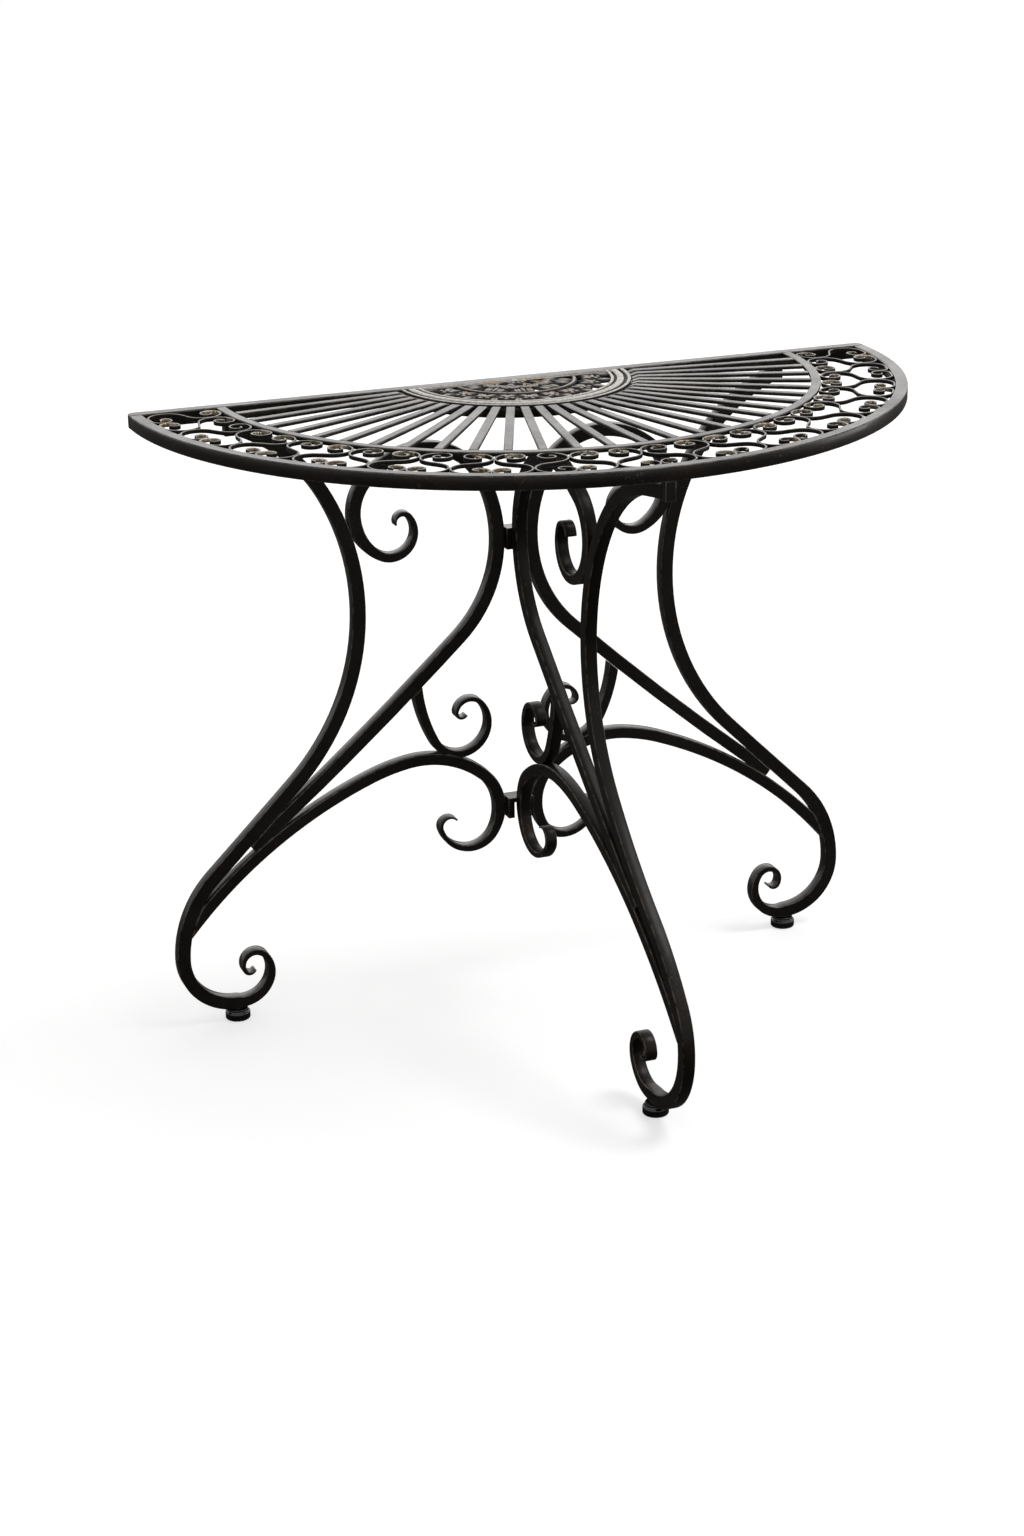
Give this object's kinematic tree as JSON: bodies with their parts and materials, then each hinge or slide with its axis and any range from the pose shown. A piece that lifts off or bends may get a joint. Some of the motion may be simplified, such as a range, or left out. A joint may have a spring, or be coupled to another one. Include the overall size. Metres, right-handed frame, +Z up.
{
  "type": "demilune table",
  "caption": "half-round garden table of scrolled wrought iron: openwork top with radial spokes, a lyre scroll band and a cast centre, on scrolled legs with glides",
  "frame": {"origin": "on the floor, under the middle of the overall box", "axes": "X along the straight back rail, Y to the rear, Z up"},
  "size_m": [0.91, 0.5304, 0.7513],
  "materials": {
    "leg_iron": "satin black over forged bar",
    "frame_iron": "satin black, lightly worn",
    "spoke_iron": "satin black",
    "strip_iron": "satin black with rubbed highlights",
    "casting": "worn cast grey with brown patina",
    "pad": "gloss black"
  },
  "bodies": {
    "root": {"back_rail": "frame_iron", "casting_hoop": "frame_iron", "centre_casting": "casting", "front_arch_bar": "leg_iron", "front_foot_pad": "pad", "front_inner_bar": "leg_iron", "front_mid_scroll": "leg_iron", "front_outer_bar": "leg_iron", "front_rim": "frame_iron", "front_riser": "leg_iron", "left_arch_bar": "leg_iron", "left_foot_pad": "pad", "left_inner_bar": "leg_iron", "left_mid_scroll": "leg_iron", "left_outer_bar": "leg_iron", "left_riser": "leg_iron", "lower_hub_bracket": "leg_iron", "lyre_band": "strip_iron", "mid_ring": "frame_iron", "right_arch_bar": "leg_iron", "right_foot_pad": "pad", "right_inner_bar": "leg_iron", "right_mid_scroll": "leg_iron", "right_outer_bar": "leg_iron", "right_riser": "leg_iron", "spoke_01": "spoke_iron", "spoke_02": "spoke_iron", "spoke_03": "spoke_iron", "spoke_04": "spoke_iron", "spoke_05": "spoke_iron", "spoke_06": "spoke_iron", "spoke_07": "spoke_iron", "spoke_08": "spoke_iron", "spoke_09": "spoke_iron", "spoke_10": "spoke_iron", "spoke_11": "spoke_iron", "spoke_12": "spoke_iron", "spoke_13": "spoke_iron", "spoke_14": "spoke_iron", "spoke_15": "spoke_iron", "spoke_16": "spoke_iron", "spoke_17": "spoke_iron", "spoke_18": "spoke_iron", "spoke_19": "spoke_iron", "spoke_20": "spoke_iron", "spoke_21": "spoke_iron", "spoke_22": "spoke_iron", "spoke_23": "spoke_iron", "spoke_24": "spoke_iron", "spoke_25": "spoke_iron", "spoke_26": "spoke_iron", "spoke_27": "spoke_iron", "spoke_28": "spoke_iron", "upper_hub_block": "leg_iron"}
  },
  "joints": []
}
